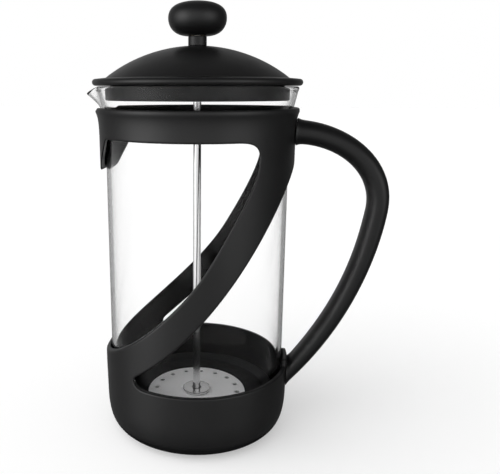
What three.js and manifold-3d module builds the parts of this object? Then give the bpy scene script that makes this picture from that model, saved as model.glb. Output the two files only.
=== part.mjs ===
// French press, 1 litre: glass beaker in a moulded frame with diagonal straps, separate handle,
// domed lid, and a plunger with its filter pressed down.
// Millimetres, +Z up. The beaker's axis is the Z axis of every piece; the handle points to +X and the
// pouring spout to -X. The whole press is then moved along X, so that the origin is under its middle.
import * as THREE from "three";
import { mergeVertices } from "three/addons/utils/BufferGeometryUtils.js";
import Module from "manifold-3d";

// Beaker
const GLASS_RADIUS = 48; // outside of the straight wall
const GLASS_WALL = 2.2;
const GLASS_BOTTOM = 6.8; // height of the underside above the table
const GLASS_FLOOR = 3.4; // thickness of the floor
const HEEL_RADIUS = 7; // rounding between floor and wall
const FLARE_BOTTOM = 167; // where the wall starts to flare
const RIM_RADIUS = 52.4;
const RIM_TOP = 187.3;
const SPOUT_REACH = 6.9; // how far the spout pulls the rim outwards
const SPOUT_DROP = 3.6; // how far the spout pulls it down
const SPOUT_BOTTOM = 174.5; // where the spout leaves the wall
const SPOUT_HALF_ANGLE = THREE.MathUtils.degToRad(21);

// Frame: collar, straps and base cup in one moulding
const FRAME_GAP = 0.4; // clearance round the glass
const FRAME_INNER = GLASS_RADIUS + FRAME_GAP;
const FRAME_RADIUS = 51.1; // outside of the cup's rim and the straps
const FOOT_RADIUS = 50.8; // outside of the cup above its rounded edge
const FOOT_ROUNDING = 22;
const CUP_RIM = 36.7; // height of the cup's rim
const COLLAR_BOTTOM = 161.9;
const COLLAR_TOP = 176.8;
const COLLAR_RADIUS = 52.9;
const NOTCH_X = -48.1; // the collar is lower beyond this, to clear the spout
const NOTCH_FLOOR = 175.6;
const FLOOR_OPENING = 34.8; // radius of the opening in the cup's floor
const LUG_TOP = 40.7; // the cup's rim is higher behind the handle
const LUG_HALF_WIDTH = 8.5;

// Handle
const HANDLE_DEPTH = 16; // across, along Y
const JOINT_GAP = 0.3;
const SCREW_HEIGHTS = { handle_screw_upper: 164.4, handle_screw_lower: 34.5 };
const SCREW_RADIUS = 1.5;
const SCREW_HEAD_RADIUS = 3.4;
const SCREW_HEAD_DEPTH = 1.9;
const SCREW_LENGTH = 8;
const SCREW_FACE = FRAME_INNER + 0.5; // the head lies just below the frame's inner face

// Lid
const LID_RADIUS = 54;
const FLANGE_MIDDLE = 189.3; // height of the flange's mid-plane
const FLANGE_HALF = 1.7;
const DOME_TOP = 207.4;
const PLUG_RADIUS = 47.6;
const PLUG_BOTTOM = 180.6;
const COVER_LIP = 45.3; // inside of the cover where it meets the insert
const LID_BORE = 4.25; // hole in the cover and the insert for the bush's stem
const INSERT_BOTTOM = 184.4; // underside of the insert's plate

// Plunger and filter
const ROD_RADIUS = 2.1;
const ROD_BORE = ROD_RADIUS + 0.35;
const ROD_BOTTOM = 11;
const ROD_TOP = 223.6;
const BUSH_RADIUS = 4.75;
const STEM_RADIUS = 3.9;
const KNOB_RADIUS = 14.9;
const KNOB_BOTTOM = 212.4;
const KNOB_TOP = 229.1;
const HUB_RADIUS = 4.6;
const FILTER_BORE = HUB_RADIUS + 0.35;
const PLATE_RADIUS = 28;
const SEAL_RADIUS = 45.4;
const MESH_RADIUS = 44.2;

const BEYOND = 80; // further from the axis than any wall: where cutters start and end
const ROUND = 48; // sides of the large round pieces
const LID_ROUND = 36;
const SMALL_ROUND = 24;

const wasm = await Module();
wasm.setup();

// ---------------------------------------------------------------- helpers

// One closed surface with shared vertices, its faces pointing out.
function closed(geometry) {
  geometry.deleteAttribute("normal");
  geometry.deleteAttribute("uv");
  const merged = mergeVertices(geometry, 1e-3);
  const from = merged.index.array;
  const kept = [];
  for (let i = 0; i < from.length; i += 3) {
    const [a, b, c] = [from[i], from[i + 1], from[i + 2]];
    if (a !== b && b !== c && c !== a) kept.push(a, b, c);
  }
  if (signedVolume(merged.attributes.position, kept) < 0) {
    for (let i = 0; i < kept.length; i += 3) [kept[i], kept[i + 1]] = [kept[i + 1], kept[i]];
  }
  merged.setIndex(kept);
  return merged;
}

function signedVolume(position, index) {
  const corner = [0, 1, 2].map(() => new THREE.Vector3());
  let sum = 0;
  for (let i = 0; i < index.length; i += 3) {
    corner.forEach((v, k) => v.fromBufferAttribute(position, index[i + k]));
    sum += corner[0].dot(corner[1].cross(corner[2])) / 6;
  }
  return sum;
}

function toSolid(geometry) {
  const g = closed(geometry);
  return new wasm.Manifold(new wasm.Mesh({
    numProp: 3,
    vertProperties: g.attributes.position.array,
    triVerts: new Uint32Array(g.index.array),
  }));
}

function toGeometry(solid) {
  const mesh = solid.getMesh();
  const geometry = new THREE.BufferGeometry();
  geometry.setAttribute("position", new THREE.BufferAttribute(mesh.vertProperties, 3));
  geometry.setIndex(new THREE.BufferAttribute(mesh.triVerts, 1));
  return geometry;
}

function cut(geometry, ...cutters) {
  return toGeometry(cutters.reduce((solid, cutter) => solid.subtract(toSolid(cutter)), toSolid(geometry)));
}

// A path through corner points given as [radius, height].
function polyline(...points) {
  const path = new THREE.Path();
  points.forEach(([r, z], i) => (i ? path.lineTo(r, z) : path.moveTo(r, z)));
  return path;
}

// Turns a closed [radius, height] path about the Z axis.
function turned(path, sides = ROUND, arcSteps = 3) {
  const points = path.getPoints(arcSteps).filter((p, i, all) => !i || p.distanceTo(all[i - 1]) > 1e-3);
  return closed(new THREE.LatheGeometry(points, sides).rotateX(Math.PI / 2));
}

const extruded = (shape, depth, curveSegments) =>
  new THREE.ExtrudeGeometry(shape, { depth, bevelEnabled: false, curveSegments });

// A cutter drawn in X and Z that runs right through the press along Y.
function throughY(shape, curveSteps = 9) {
  return extruded(shape, 2 * BEYOND, curveSteps).rotateX(Math.PI / 2).translate(0, BEYOND, 0);
}

// A flat plate between two heights, from a shape drawn in X and Y.
function plate(shape, bottom, top, curveSteps) {
  return closed(extruded(shape, top - bottom, curveSteps).translate(0, 0, bottom));
}

function roundHole(x, y, radius) {
  const hole = new THREE.Path();
  hole.absarc(x, y, radius, 0, 2 * Math.PI, true);
  return hole;
}

// A straight-walled ring, bored through.
function ring(inner, outer, bottom, top) {
  const outline = polyline([inner, bottom], [outer, bottom], [outer, top], [inner, top], [inner, bottom]);
  return turned(outline, SMALL_ROUND);
}

// ---------------------------------------------------------------- beaker

function beakerProfile() {
  const inner = GLASS_RADIUS - GLASS_WALL;
  const floorTop = GLASS_BOTTOM + GLASS_FLOOR;
  const innerHeel = HEEL_RADIUS - GLASS_WALL;
  const path = new THREE.Path();
  path.moveTo(0, GLASS_BOTTOM);
  path.lineTo(GLASS_RADIUS - HEEL_RADIUS, GLASS_BOTTOM);
  path.absarc(GLASS_RADIUS - HEEL_RADIUS, GLASS_BOTTOM + HEEL_RADIUS, HEEL_RADIUS, -Math.PI / 2, 0);
  path.lineTo(GLASS_RADIUS, FLARE_BOTTOM);
  path.bezierCurveTo(GLASS_RADIUS, 170, 48.7, 172.2, 49.3, SPOUT_BOTTOM);
  path.bezierCurveTo(50.1, 178, 50.9, 181.3, RIM_RADIUS - 0.65, 184.8);
  path.bezierCurveTo(RIM_RADIUS + 0.2, 186.4, RIM_RADIUS, RIM_TOP, RIM_RADIUS - 1.4, RIM_TOP);
  path.bezierCurveTo(50.1, RIM_TOP, 49.8, 186.6, 49.6, 185.3);
  path.bezierCurveTo(48.8, 181.8, 47.9, 178.5, 47.2, 175);
  path.bezierCurveTo(46.6, 172.8, inner, 170.3, inner, FLARE_BOTTOM + 0.2);
  path.lineTo(inner, floorTop + innerHeel);
  path.absarc(inner - innerHeel, floorTop + innerHeel, innerHeel, 0, -Math.PI / 2, true);
  path.lineTo(0, floorTop);
  return path;
}

// Pulls the rim outwards and down round the -X direction.
function pullSpout(geometry) {
  const position = geometry.attributes.position;
  const point = new THREE.Vector3();
  for (let i = 0; i < position.count; i++) {
    point.fromBufferAttribute(position, i);
    const away = Math.abs(Math.atan2(point.y, -point.x)) / SPOUT_HALF_ANGLE;
    if (away >= 1 || point.z <= SPOUT_BOTTOM) continue;
    const share = Math.cos((away * Math.PI) / 2) ** 2;
    const height = (point.z - SPOUT_BOTTOM) / (RIM_TOP - SPOUT_BOTTOM);
    const radius = Math.hypot(point.x, point.y);
    const reach = SPOUT_REACH * share * height ** 0.85;
    const drop = SPOUT_DROP * share * THREE.MathUtils.clamp(1.4 * height - 0.4, 0, 1);
    position.setXYZ(i, point.x * (1 + reach / radius), point.y * (1 + reach / radius), point.z - drop);
  }
  return geometry;
}

const beaker = () => pullSpout(turned(beakerProfile()));

// ---------------------------------------------------------------- frame

function frameProfile() {
  const floorTop = GLASS_BOTTOM - FRAME_GAP;
  const floorBottom = floorTop - 1.8;
  const flareInner = 50.6;
  const path = new THREE.Path();
  path.moveTo(39.4, 0);
  path.lineTo(41, 0);
  path.bezierCurveTo(45.8, 2.8, FOOT_RADIUS, 1.4, FOOT_RADIUS, FOOT_ROUNDING);
  path.lineTo(FRAME_RADIUS, CUP_RIM);
  path.lineTo(FRAME_RADIUS + 0.1, COLLAR_BOTTOM);
  path.bezierCurveTo(51.3, 168, 51.4, 171.5, COLLAR_RADIUS - 0.1, COLLAR_TOP - 2.2);
  path.bezierCurveTo(COLLAR_RADIUS + 0.1, COLLAR_TOP - 1, COLLAR_RADIUS, COLLAR_TOP,
    COLLAR_RADIUS - 1, COLLAR_TOP);
  path.lineTo(flareInner + 0.2, COLLAR_TOP);
  path.bezierCurveTo(49.9, 173.2, FRAME_INNER, 170.5, FRAME_INNER, FLARE_BOTTOM - 3);
  path.lineTo(FRAME_INNER, floorTop + HEEL_RADIUS);
  path.absarc(FRAME_INNER - HEEL_RADIUS, floorTop + HEEL_RADIUS, HEEL_RADIUS, 0, -Math.PI / 2, true);
  path.lineTo(FLOOR_OPENING, floorTop);
  path.lineTo(FLOOR_OPENING, floorBottom);
  path.lineTo(45, floorBottom);
  path.bezierCurveTo(44, 3.2, 42, 2.2, 39.8, 2);
  path.lineTo(39.4, 0);
  return path;
}

// The window on the spout side: from the collar and its tongue down to the straps' upper edge.
// It is open past the wall at -X, where it joins front and back.
function spoutWindow() {
  const shape = new THREE.Shape();
  shape.moveTo(-BEYOND, 144);
  shape.lineTo(-50.9, 144);
  shape.bezierCurveTo(-49.2, 144, -48.5, 146, -47.6, 148.2);
  shape.bezierCurveTo(-46.6, 150.5, -45.3, 153.3, -44.2, 155.9);
  shape.bezierCurveTo(-42.6, 159.7, -42.4, COLLAR_BOTTOM, -40.8, COLLAR_BOTTOM);
  shape.lineTo(23.5, COLLAR_BOTTOM);
  shape.bezierCurveTo(31.5, COLLAR_BOTTOM, 35.1, 160.5, 33.3, 149.5);
  shape.bezierCurveTo(32.5, 142.8, 24.4, 125.4, 11.7, 104);
  shape.bezierCurveTo(0.5, 85.2, -22.3, 62.5, -50.5, 43.9);
  shape.lineTo(-BEYOND, 20);
  shape.lineTo(-BEYOND, 144);
  return throughY(shape);
}

// The window on the handle side: from the straps' lower edge down to the cup's rim.
function handleWindow() {
  const shape = new THREE.Shape();
  shape.moveTo(-21.5, CUP_RIM);
  shape.lineTo(BEYOND, CUP_RIM);
  shape.lineTo(BEYOND, 151.5);
  shape.lineTo(53.2, 151.5);
  shape.lineTo(51.9, 149.1);
  shape.bezierCurveTo(40.9, 122.4, 20, 78.8, -25.5, 43.6);
  shape.bezierCurveTo(-28.9, 41, -27.3, CUP_RIM, -21.5, CUP_RIM);
  return throughY(shape);
}

// The raised part of the cup's rim behind the handle, seen along X.
function lug() {
  const half = LUG_HALF_WIDTH;
  const corner = 1.2; // rounding of the lug's upper corners
  const below = CUP_RIM - 16;
  const shape = new THREE.Shape();
  shape.moveTo(-half, below);
  shape.lineTo(half, below);
  shape.lineTo(half, LUG_TOP - corner);
  shape.quadraticCurveTo(half, LUG_TOP, half - corner, LUG_TOP);
  shape.lineTo(corner - half, LUG_TOP);
  shape.quadraticCurveTo(-half, LUG_TOP, -half, LUG_TOP - corner);
  shape.lineTo(-half, below);
  const alongX = extruded(shape, 20, 4).rotateX(Math.PI / 2).rotateZ(Math.PI / 2);
  return alongX.translate(FRAME_INNER - 3.4, 0, 0);
}

function spoutNotch() {
  const above = COLLAR_TOP + 10;
  const shape = new THREE.Shape();
  shape.moveTo(-BEYOND, NOTCH_FLOOR);
  shape.lineTo(NOTCH_X - 1.5, NOTCH_FLOOR);
  shape.quadraticCurveTo(NOTCH_X - 0.2, NOTCH_FLOOR, NOTCH_X, NOTCH_FLOOR + 2.2);
  shape.lineTo(NOTCH_X, above);
  shape.lineTo(-BEYOND, above);
  shape.lineTo(-BEYOND, NOTCH_FLOOR);
  return throughY(shape, 4);
}

// The body of a countersunk screw along +X, or, with clearance, the hole for it.
function screwBody(height, clearance, length) {
  const face = SCREW_FACE - (clearance ? 2 : 0);
  const headEnd = SCREW_FACE + SCREW_HEAD_DEPTH;
  const path = polyline(
    [0, face],
    [SCREW_HEAD_RADIUS + clearance, face],
    [SCREW_HEAD_RADIUS + clearance, SCREW_FACE + 0.2],
    [SCREW_RADIUS + clearance, headEnd],
    [SCREW_RADIUS + clearance, SCREW_FACE + length],
    [0, SCREW_FACE + length],
  );
  return turned(path, 12).rotateY(Math.PI / 2).translate(0, 0, height);
}

const screwHole = (height) => screwBody(height, 0.35, SCREW_LENGTH + 0.6);

function frame() {
  const shell = turned(frameProfile());
  const window = cut(handleWindow(), lug());
  const holes = Object.values(SCREW_HEIGHTS).map(screwHole);
  return cut(shell, spoutWindow(), window, spoutNotch(), ...holes);
}

// ---------------------------------------------------------------- handle

// A curve in the XZ plane through its four [x, z] control points.
const bezier = (...points) =>
  new THREE.CubicBezierCurve(...points.map(([x, z]) => new THREE.Vector2(x, z)));

// The handle's outer and inner edges, from the collar round to the cup. Each has two curves,
// which meet at the handle's outermost point.
const OUTER_EDGE = [
  bezier([46.1, 170.7], [73.8, 172.3], [103.2, 153.7], [100.1, 125.1]),
  bezier([100.1, 125.1], [99.4, 118.2], [92.6, 64.5], [46.2, 18.9]),
];
const INNER_EDGE = [
  bezier([46.8, 158.2], [72.4, 160.2], [92.1, 143.6], [88.9, 124.2]),
  bezier([88.9, 124.2], [85.2, 102.1], [78.5, 72.2], [47.6, 33.1]),
];

function edgePoint(edge, share) {
  const half = share < 0.5 ? 0 : 1;
  return edge[half].getPoint(share * 2 - half);
}

// A cosine or sine with its power lowered, which squares the section's corners a little.
const squared = (value) => Math.sign(value) * Math.abs(value) ** 0.85;

// A loft of rounded sections, each across the two edges.
function handleLoft(steps = 32, sides = 12) {
  const positions = [];
  const index = [];
  for (let i = 0; i <= steps; i++) {
    const outer = edgePoint(OUTER_EDGE, i / steps);
    const inner = edgePoint(INNER_EDGE, i / steps);
    for (let k = 0; k < sides; k++) {
      const turn = (2 * Math.PI * k) / sides;
      const point = inner.clone().lerp(outer, 0.5 + 0.5 * squared(Math.cos(turn)));
      positions.push(point.x, (HANDLE_DEPTH / 2) * squared(Math.sin(turn)), point.y);
    }
  }
  const last = steps * sides;
  for (let i = 0; i < steps; i++) {
    for (let k = 0; k < sides; k++) {
      const [a, b] = [i * sides + k, i * sides + ((k + 1) % sides)];
      index.push(a, b, b + sides, a, b + sides, a + sides);
    }
  }
  for (let k = 1; k < sides - 1; k++) {
    index.push(0, k + 1, k);
    index.push(last, last + k, last + k + 1);
  }
  const geometry = new THREE.BufferGeometry();
  geometry.setAttribute("position", new THREE.Float32BufferAttribute(positions, 3));
  geometry.setIndex(index);
  return geometry;
}

// Its ends are cut to the frame's outside, a joint gap away.
function handle() {
  const foot = FOOT_RADIUS + JOINT_GAP;
  const side = FRAME_RADIUS + JOINT_GAP;
  const frameOutside = turned(polyline([0, 0], [foot, 0], [foot, FOOT_ROUNDING], [side, CUP_RIM],
    [side + 0.1, COLLAR_BOTTOM], [side + 0.5, 168], [COLLAR_RADIUS - 0.6, 172],
    [COLLAR_RADIUS + 0.5, COLLAR_TOP], [0, COLLAR_TOP]));
  const holes = Object.values(SCREW_HEIGHTS).map(screwHole);
  return cut(handleLoft(), frameOutside, ...holes);
}

// ---------------------------------------------------------------- lid

function lidCover() {
  const flangeTop = FLANGE_MIDDLE + FLANGE_HALF;
  const flangeBottom = FLANGE_MIDDLE - FLANGE_HALF;
  const wall = 2.4;
  const path = new THREE.Path();
  path.moveTo(LID_BORE, DOME_TOP);
  path.bezierCurveTo(20, 206.6, 35.6, 200.6, 47.2, flangeTop + 0.5);
  path.lineTo(LID_RADIUS - FLANGE_HALF, flangeTop);
  path.absarc(LID_RADIUS - FLANGE_HALF, FLANGE_MIDDLE, FLANGE_HALF, Math.PI / 2, -Math.PI / 2, true);
  path.lineTo(COVER_LIP, flangeBottom);
  path.lineTo(COVER_LIP, flangeBottom + wall + 0.2);
  path.bezierCurveTo(34.2, 198.6, 19, 204.2, LID_BORE, DOME_TOP - wall);
  path.lineTo(LID_BORE, DOME_TOP);
  return turned(path, LID_ROUND, 5);
}

// A plate with a plug ring below its edge, a rim that locates in the cover and a post up to the dome.
function lidInsert() {
  const shelf = FLANGE_MIDDLE - FLANGE_HALF - 0.3;
  const locatingTop = shelf + 2.2;
  const locatingRadius = COVER_LIP - 0.5;
  const plateTop = INSERT_BOTTOM + 1.8;
  const postRadius = 7;
  const postTop = 203.8;
  return turned(polyline(
    [LID_BORE, INSERT_BOTTOM], [44.6, INSERT_BOTTOM], [45.4, PLUG_BOTTOM + 0.6], [46, PLUG_BOTTOM],
    [PLUG_RADIUS - 0.8, PLUG_BOTTOM], [PLUG_RADIUS, PLUG_BOTTOM + 0.8], [PLUG_RADIUS, shelf],
    [locatingRadius, shelf], [locatingRadius, locatingTop], [locatingRadius - 1.6, locatingTop],
    [locatingRadius - 1.6, plateTop], [postRadius, plateTop], [postRadius, postTop],
    [LID_BORE, postTop], [LID_BORE, INSERT_BOTTOM],
  ), LID_ROUND);
}

// The neck on top of the dome, with a stem down through the cover and the insert.
function lidBush() {
  const stemBottom = 181.3;
  const shoulder = DOME_TOP + 0.3;
  const top = KNOB_BOTTOM - 0.3;
  return turned(polyline(
    [ROD_BORE, stemBottom], [STEM_RADIUS, stemBottom], [STEM_RADIUS, shoulder],
    [BUSH_RADIUS, shoulder], [BUSH_RADIUS, top], [ROD_BORE, top], [ROD_BORE, stemBottom],
  ), SMALL_ROUND);
}

// A hexagon nut that holds the insert up against the cover.
function lidNut() {
  const across = 8; // from the middle to a corner
  const corners = [0, 1, 2, 3, 4, 5].map((i) => (Math.PI * i) / 3);
  const hexagon = new THREE.Shape(corners.map((turn) =>
    new THREE.Vector2(across * Math.cos(turn), across * Math.sin(turn))));
  hexagon.holes.push(roundHole(0, 0, STEM_RADIUS + 0.35));
  return plate(hexagon, 181.5, INSERT_BOTTOM - 0.3, 10);
}

// ---------------------------------------------------------------- plunger

function knob() {
  const socket = 4.2;
  const widest = 220.9;
  const path = new THREE.Path();
  path.moveTo(socket, KNOB_BOTTOM);
  path.lineTo(5.6, KNOB_BOTTOM);
  path.bezierCurveTo(11.5, KNOB_BOTTOM, KNOB_RADIUS, 216.2, KNOB_RADIUS, widest);
  path.bezierCurveTo(KNOB_RADIUS, 226.3, 10.4, KNOB_TOP, 0, KNOB_TOP);
  path.lineTo(0, ROD_TOP + 0.6);
  path.lineTo(socket, ROD_TOP + 0.6);
  path.lineTo(socket, KNOB_BOTTOM);
  return turned(path, 32, 5);
}

const knobInsert = () => ring(ROD_BORE, 3.85, KNOB_BOTTOM + 0.3, ROD_TOP);

function plungerRod() {
  const bevel = 0.4;
  return turned(polyline(
    [0, ROD_BOTTOM], [ROD_RADIUS - bevel, ROD_BOTTOM], [ROD_RADIUS, ROD_BOTTOM + bevel],
    [ROD_RADIUS, ROD_TOP - bevel], [ROD_RADIUS - bevel, ROD_TOP], [0, ROD_TOP],
  ), 16);
}

const rodWasher = () => ring(ROD_BORE, 8, 15.9, 17.1);

// ---------------------------------------------------------------- filter

function disc(radius, bore) {
  const shape = new THREE.Shape();
  shape.absarc(0, 0, radius, 0, 2 * Math.PI);
  shape.holes.push(roundHole(0, 0, bore));
  return shape;
}

// A row of equal round holes at one distance from the middle.
function holeCircle(shape, distance, radius, count) {
  for (let i = 0; i < count; i++) {
    const turn = (2 * Math.PI * i) / count;
    shape.holes.push(roundHole(distance * Math.cos(turn), distance * Math.sin(turn), radius));
  }
  return shape;
}

const filterHub = () => turned(polyline([ROD_BORE, 10.7], [8, 10.7], [8, 11.5], [HUB_RADIUS, 11.5],
  [HUB_RADIUS, 15.6], [ROD_BORE, 15.6], [ROD_BORE, 10.7]), SMALL_ROUND);

const crossPlate = () => plate(holeCircle(disc(43.4, FILTER_BORE), 26, 6.6, 8), 11.8, 12.8, 8);

const filterMesh = () => plate(disc(MESH_RADIUS, FILTER_BORE), 13.1, 13.6, 24);

// A ring clamped under the upper plate, with a lip that bends up against the glass.
function filterSeal() {
  const inner = PLATE_RADIUS - 1.8;
  return turned(polyline([inner, 13.9], [40.5, 13.9], [SEAL_RADIUS, 16.6], [SEAL_RADIUS, 17.8],
    [SEAL_RADIUS - 0.9, 17.8], [40, 15.4], [PLATE_RADIUS + 0.4, 15.4], [PLATE_RADIUS + 0.4, 14.5],
    [inner, 14.5], [inner, 13.9]));
}

function topPlate() {
  const pierced = holeCircle(disc(PLATE_RADIUS, FILTER_BORE), PLATE_RADIUS - 4.5, 1.4, 16);
  return plate(pierced, 14.8, 15.6, 6);
}

// ---------------------------------------------------------------- the whole press

const press = new THREE.Group();

function add(name, geometry, color, roughness, metalness = 0) {
  const material = new THREE.MeshStandardMaterial({ color, roughness, metalness });
  const mesh = new THREE.Mesh(geometry, material);
  mesh.name = name;
  press.add(mesh);
}

const BLACK = 0x1c1c1e;
const STEEL = 0xc2c4c6;

add("frame", frame(), BLACK, 0.5);
add("handle", handle(), BLACK, 0.5);
for (const [name, height] of Object.entries(SCREW_HEIGHTS)) {
  add(name, screwBody(height, 0, SCREW_LENGTH), STEEL, 0.35, 1);
}
add("beaker", beaker(), 0xe8f0f0, 0.05);
add("lid_cover", lidCover(), BLACK, 0.5);
add("lid_insert", lidInsert(), BLACK, 0.55);
add("lid_bush", lidBush(), BLACK, 0.45);
add("lid_nut", lidNut(), BLACK, 0.5);
add("knob", knob(), BLACK, 0.4);
add("knob_insert", knobInsert(), 0xb08d4a, 0.35, 1);
add("plunger_rod", plungerRod(), STEEL, 0.2, 1);
add("rod_washer", rodWasher(), STEEL, 0.3, 1);
add("filter_hub", filterHub(), STEEL, 0.3, 1);
add("filter_cross_plate", crossPlate(), STEEL, 0.3, 1);
add("filter_mesh", filterMesh(), STEEL, 0.4, 1);
add("filter_seal", filterSeal(), 0x141414, 0.7);
add("filter_top_plate", topPlate(), STEEL, 0.3, 1);

const outline = new THREE.Box3().setFromObject(press);
press.position.x = -(outline.min.x + outline.max.x) / 2;

export default press;
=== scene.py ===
# French press: fine meshes, materials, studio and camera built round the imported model.
# Shapes are worked out in millimetres with the beaker's axis at x = 0, the handle towards +X and the
# spout towards -X, and are placed in the row frame, in metres, as each mesh is made.
import math

import bmesh
import bpy
import numpy as np
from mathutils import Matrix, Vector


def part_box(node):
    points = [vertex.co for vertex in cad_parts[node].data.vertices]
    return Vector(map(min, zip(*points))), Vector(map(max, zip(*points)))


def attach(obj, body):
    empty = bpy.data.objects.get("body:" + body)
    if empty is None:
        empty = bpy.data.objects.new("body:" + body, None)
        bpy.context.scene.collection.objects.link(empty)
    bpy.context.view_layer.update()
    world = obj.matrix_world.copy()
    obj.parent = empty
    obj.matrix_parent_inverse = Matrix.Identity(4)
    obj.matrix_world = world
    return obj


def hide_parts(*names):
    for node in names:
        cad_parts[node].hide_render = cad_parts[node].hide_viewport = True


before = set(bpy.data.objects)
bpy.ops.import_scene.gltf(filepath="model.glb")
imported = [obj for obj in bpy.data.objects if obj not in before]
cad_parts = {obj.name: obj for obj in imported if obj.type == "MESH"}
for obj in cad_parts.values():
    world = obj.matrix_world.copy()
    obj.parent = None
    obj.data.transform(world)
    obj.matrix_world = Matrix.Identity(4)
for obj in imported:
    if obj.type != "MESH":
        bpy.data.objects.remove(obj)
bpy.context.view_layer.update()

MM = 0.001
TAU = 2 * math.pi


def top(node):
    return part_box(node)[1].z / MM


def bottom(node):
    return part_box(node)[0].z / MM


def radius(node):
    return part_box(node)[1].y / MM


AXIS_X = sum(corner.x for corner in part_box("plunger_rod")) / 2
ROD_BORE = radius("plunger_rod") + 0.35
LID_BORE = 4.25
FILTER_BORE = 4.95

# Beaker
GLASS_R = 48.0
GLASS_WALL = 2.2
GLASS_FLOOR = 3.4
HEEL_R = 7.0
FLARE_BOTTOM = 167.0
SPOUT_REACH = 6.9
SPOUT_DROP = 3.6
SPOUT_BOTTOM = 174.5
SPOUT_HALF_ANGLE = math.radians(21)
RIM_R = radius("beaker") + 0.1
RIM_TOP = top("beaker")

# Frame
FRAME_GAP = 0.4
FRAME_INNER = GLASS_R + FRAME_GAP
FRAME_R = 51.1
FRAME_FLOOR = 1.8
FOOT_R = 50.8
FOOT_ROUNDING = 22.0
CUP_RIM = 36.7
COLLAR_BOTTOM = 161.9
COLLAR_TOP = top("frame")
COLLAR_R = radius("frame")
FLOOR_OPENING = 34.8
NOTCH_X = -48.1
NOTCH_FLOOR = 175.6
LUG_TOP = 40.7
LUG_HALF = 8.5
LUG_CORNER = 1.2
LUG_FILLET = 1.5
EDGE_ROUND = 0.75
SCREW_HEAD_R = 3.75
SCREW_HOLE_R = 1.85

# Handle
HANDLE_GAP = 0.22
FLARE_HEIGHT = 1.1
FLARE_LENGTH = 1.3
FLARE_ENDS = 8.0
END_ROUND = 0.45
SCREWS = ("handle_screw_upper", "handle_screw_lower")


# ------------------------------------------------------------------ outlines

def bezier(a, b, c, d, steps=16):
    """Points of a cubic curve after its start."""
    t = np.linspace(0, 1, steps + 1)[1:, None]
    a, b, c, d = (np.array(p, float) for p in (a, b, c, d))
    return (1 - t) ** 3 * a + 3 * (1 - t) ** 2 * t * b + 3 * (1 - t) * t * t * c + t ** 3 * d


class Outline:
    """A path in a plane, drawn point by point. A corner with a rounding is replaced by an arc."""

    def __init__(self, x, z, rounding=0.0):
        self.corners = [(x, z, rounding)]

    def line(self, x, z, rounding=0.0):
        self.corners.append((x, z, rounding))
        return self

    def curve(self, b, c, end, rounding=0.0, steps=16):
        points = bezier(self.corners[-1][:2], b, c, end, steps)
        self.corners += [(x, z, 0.0) for x, z in points]
        self.corners[-1] = (*self.corners[-1][:2], rounding)
        return self

    def arc(self, centre, r, start, end, steps=10):
        """An arc about centre, from one angle to another in degrees, its first point included."""
        for turn in np.radians(np.linspace(start, end, steps + 1)):
            self.corners.append((centre[0] + r * math.cos(turn), centre[1] + r * math.sin(turn), 0.0))
        return self

    def points(self, closed=False, steps=5):
        corners = self.corners
        if closed and math.dist(corners[0][:2], corners[-1][:2]) < 1e-6:
            corners = corners[:-1]
        made = []
        for i, (x, z, rounding) in enumerate(corners):
            here = np.array((x, z))
            if rounding <= 0 or (not closed and i in (0, len(corners) - 1)):
                made.append(here)
                continue
            before = np.array(corners[i - 1][:2]) - here
            after = np.array(corners[(i + 1) % len(corners)][:2]) - here
            made += list(corner_arc(here, before, after, rounding, steps))
        kept = [p for i, p in enumerate(made) if i == 0 or np.linalg.norm(p - made[i - 1]) > 1e-5]
        return np.array(kept)


def corner_arc(corner, before, after, r, steps):
    """The arc of radius r that rounds a corner between two neighbouring points."""
    reach = [np.linalg.norm(before), np.linalg.norm(after)]
    u, v = before / reach[0], after / reach[1]
    half = math.acos(float(np.clip(u @ v, -1, 1))) / 2
    cut = min(r / math.tan(half), 0.49 * min(reach))
    r = cut * math.tan(half)
    centre = corner + (u + v) / np.linalg.norm(u + v) * (r / math.sin(half))
    first, last = corner + u * cut - centre, corner + v * cut - centre
    start = math.atan2(first[1], first[0])
    swing = (math.atan2(last[1], last[0]) - start + math.pi) % TAU - math.pi
    turns = start + swing * np.linspace(0, 1, steps + 1)
    return centre + r * np.stack([np.cos(turns), np.sin(turns)], 1)


# ------------------------------------------------------------------ meshes

def piece(name, body, nodes, slot, material, vertices, faces, normals=None):
    """A mesh from points in millimetres about the beaker's axis, put in the row frame."""
    mesh = bpy.data.meshes.new(name)
    points = np.asarray(vertices, float) * MM
    points[:, 0] += AXIS_X
    mesh.from_pydata(points.tolist(), [], [list(map(int, f)) for f in faces])
    mesh.validate()
    if normals is None:
        tidy(mesh)
        normals = area_normals(mesh)
    mesh.shade_smooth()
    mesh.normals_split_custom_set_from_vertices(normals.tolist())
    made = bpy.data.objects.new(name, mesh)
    bpy.context.scene.collection.objects.link(made)
    return dress(made, body, nodes, material)


def dress(made, body, nodes, material):
    made.data.materials.clear()
    made.data.materials.append(material)
    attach(made, body)
    if nodes:
        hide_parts(*nodes)
    return made


def tidy(mesh):
    """Joins points that lie together, drops empty faces and turns the others outwards."""
    work = bmesh.new()
    work.from_mesh(mesh)
    bmesh.ops.remove_doubles(work, verts=work.verts, dist=2e-6)
    bmesh.ops.dissolve_degenerate(work, edges=work.edges, dist=1e-7)
    bmesh.ops.recalc_face_normals(work, faces=work.faces)
    work.to_mesh(mesh)
    work.free()


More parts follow.
